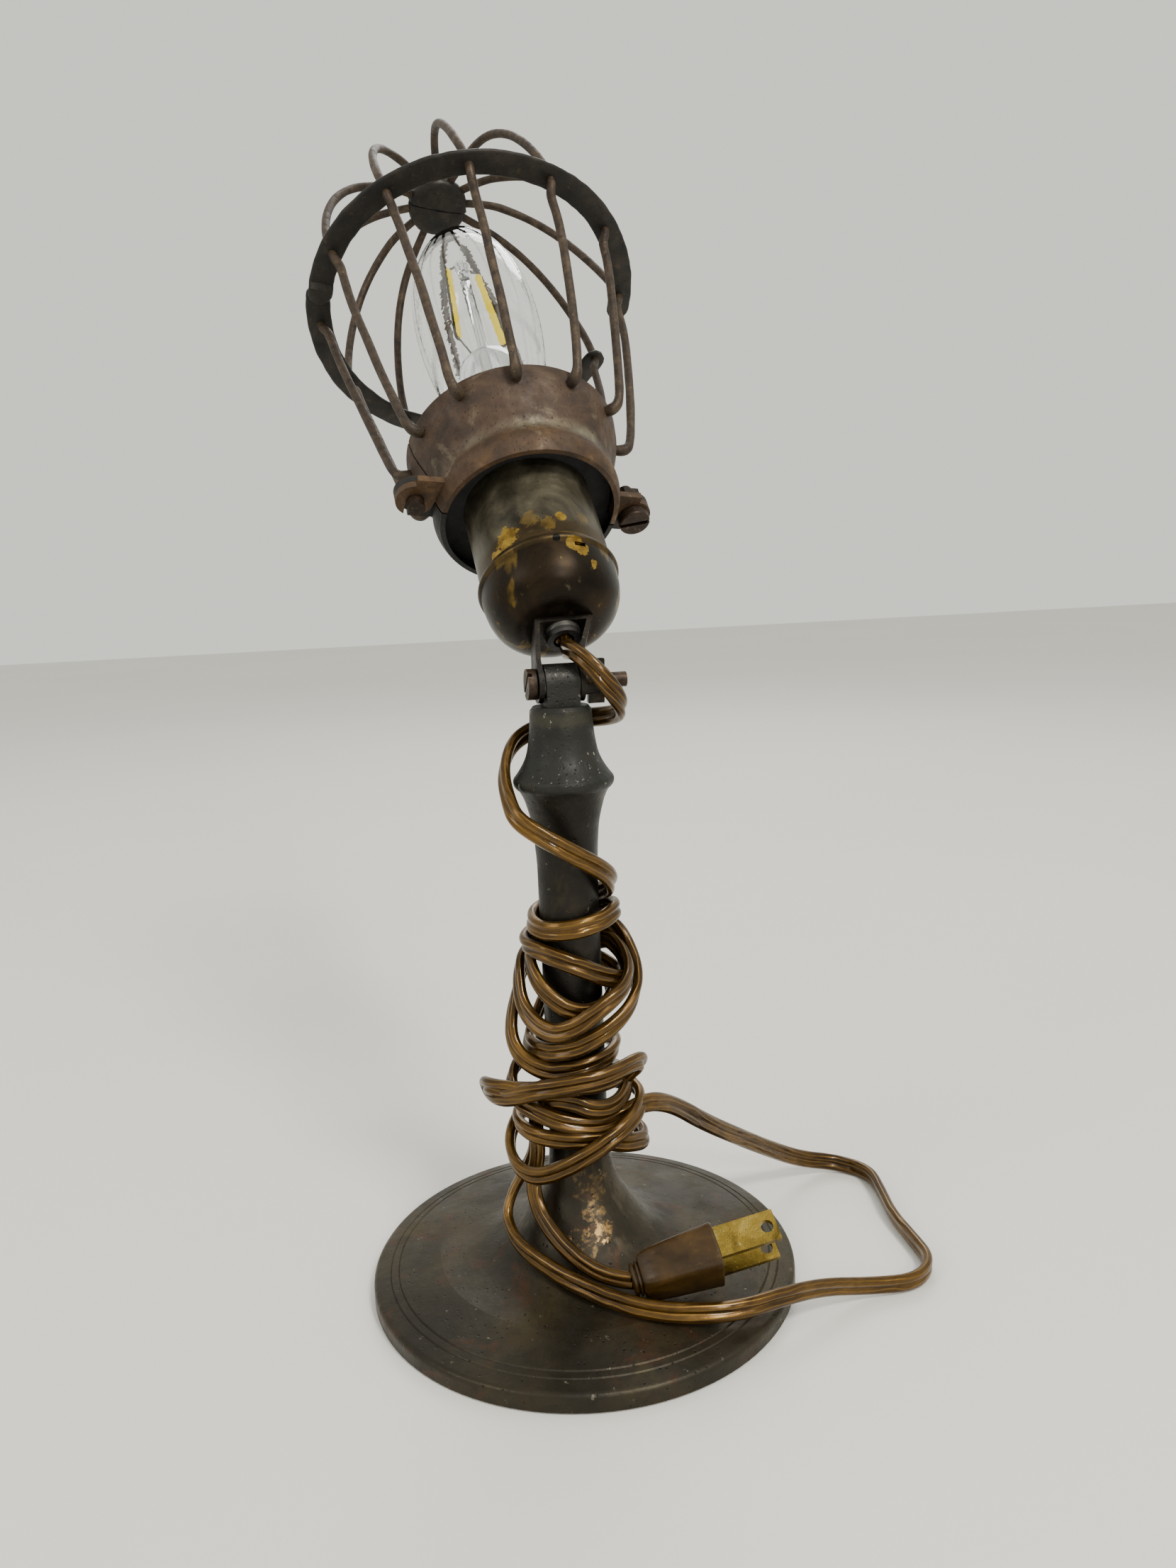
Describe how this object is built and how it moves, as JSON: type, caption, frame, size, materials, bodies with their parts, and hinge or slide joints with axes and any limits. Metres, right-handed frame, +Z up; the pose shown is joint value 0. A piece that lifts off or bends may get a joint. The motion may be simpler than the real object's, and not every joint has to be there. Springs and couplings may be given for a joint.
{
  "type": "caged tilting inspection lamp",
  "caption": "Bench light on a weighted round foot with a column, a wing-nut tilt joint, a lampholder and bulb inside a hinged wire guard, its flat cord wound round the column.",
  "frame": {"origin": "centre of the base's underside, on the surface that it stands on", "axes": "+Z up the column; +X along the tilt bolt towards the wing nut; the head leans back towards +Y at rest"},
  "size_m": [0.158, 0.2131, 0.3325],
  "materials": {
    "bronze_dark": "patinated dark bronze",
    "bronze_grey": "pitted grey-green patina",
    "iron": "rough cast",
    "felt": "dark green felt",
    "steel": "plain",
    "bolt_steel": "oxidised",
    "wing_brass": "tarnished",
    "yoke_iron": "blackened",
    "bushing": "black",
    "lampholder_bronze": "dark worn patina",
    "fibre": "pressed fibre",
    "porcelain": "glazed",
    "brass": "plain",
    "bulb_metal": "satin",
    "bulb_black": "glazed black",
    "glass": "clear",
    "stem_glass": "clear",
    "filament": "yellow coated",
    "packing": "black",
    "rusty_steel": "rusted brown",
    "hoop_black": "blackened brown",
    "rusty_wire": "rusted grey-brown",
    "cord": "translucent gold-brown",
    "plug_brown": "satin brown",
    "blade_brass": "tarnished"
  },
  "bodies": {
    "root": {"base_casting": "bronze_dark", "base_weight": "iron", "base_felt": "felt", "tie_rod": "steel", "tie_rod_washer": "steel", "tie_rod_nut": "steel", "knuckle": "bronze_grey", "pivot_bolt": "bolt_steel", "cord_neck": "cord", "cord_winding_upper": "cord", "cord_winding_lower": "cord", "cord_table_loop": "cord", "cord_tail": "cord", "plug_relief": "plug_brown", "plug_body": "plug_brown", "plug_blades": "blade_brass"},
    "head": {"cap_liner": "fibre", "cap_nipple": "steel", "centre_contact": "brass", "clamp_nut": "bolt_steel", "collar_rear": "rusty_steel", "cord_bushing": "bushing", "cord_leads": "cord", "friction_washers": "steel", "hoop_rear": "hoop_black", "hub_rear": "hoop_black", "latch_peg": "bolt_steel", "nipple_nut": "steel", "packing_ring": "packing", "screw_shell": "brass", "shell_liner": "fibre", "socket_body": "porcelain", "socket_cap": "lampholder_bronze", "socket_shell": "lampholder_bronze", "terminal_screws": "brass", "wires_rear": "rusty_wire", "yoke": "yoke_iron"},
    "guard_front": {"collar_front": "rusty_steel", "hoop_front": "hoop_black", "hub_front": "hoop_black", "wires_front": "rusty_wire"},
    "bulb": {"bulb_cap": "bulb_metal", "bulb_insulator": "bulb_black", "bulb_eyelet": "bulb_metal", "bulb_glass": "glass", "bulb_stem": "stem_glass", "bulb_filaments": "filament", "bulb_leads": "steel"},
    "wing_nut": {"wing_nut": "wing_brass"},
    "clamp_screw": {"clamp_screw": "bolt_steel"}
  },
  "joints": [
    {"name": "head_tilt", "type": "hinge", "parent": "root", "child": "head", "pos_m": [0, 0, 0.1658], "axis": [1, 0, 0], "range_deg": [-48, 120], "deforming": ["cord_neck"]},
    {"name": "wing_nut_turn", "type": "hinge", "parent": "root", "child": "wing_nut", "pos_m": [0.008, 0, 0.1658], "axis": [1, 0, 0], "continuous": true},
    {"name": "guard_open", "type": "hinge", "parent": "head", "child": "guard_front", "pos_m": [0.0335, 0.04759, 0.2102], "axis": [-0.0436, 0.6685, 0.7424], "range_deg": [0, 40]},
    {"name": "clamp_screw_turn", "type": "hinge", "parent": "head", "child": "clamp_screw", "pos_m": [0.0335, 0.04759, 0.2102], "axis": [-0.0436, 0.6685, 0.7424], "continuous": true},
    {"name": "bulb_turn", "type": "hinge", "parent": "head", "child": "bulb", "pos_m": [0.00075, 0.05281, 0.22445], "axis": [-0.0436, 0.6685, 0.7424], "continuous": true}
  ]
}
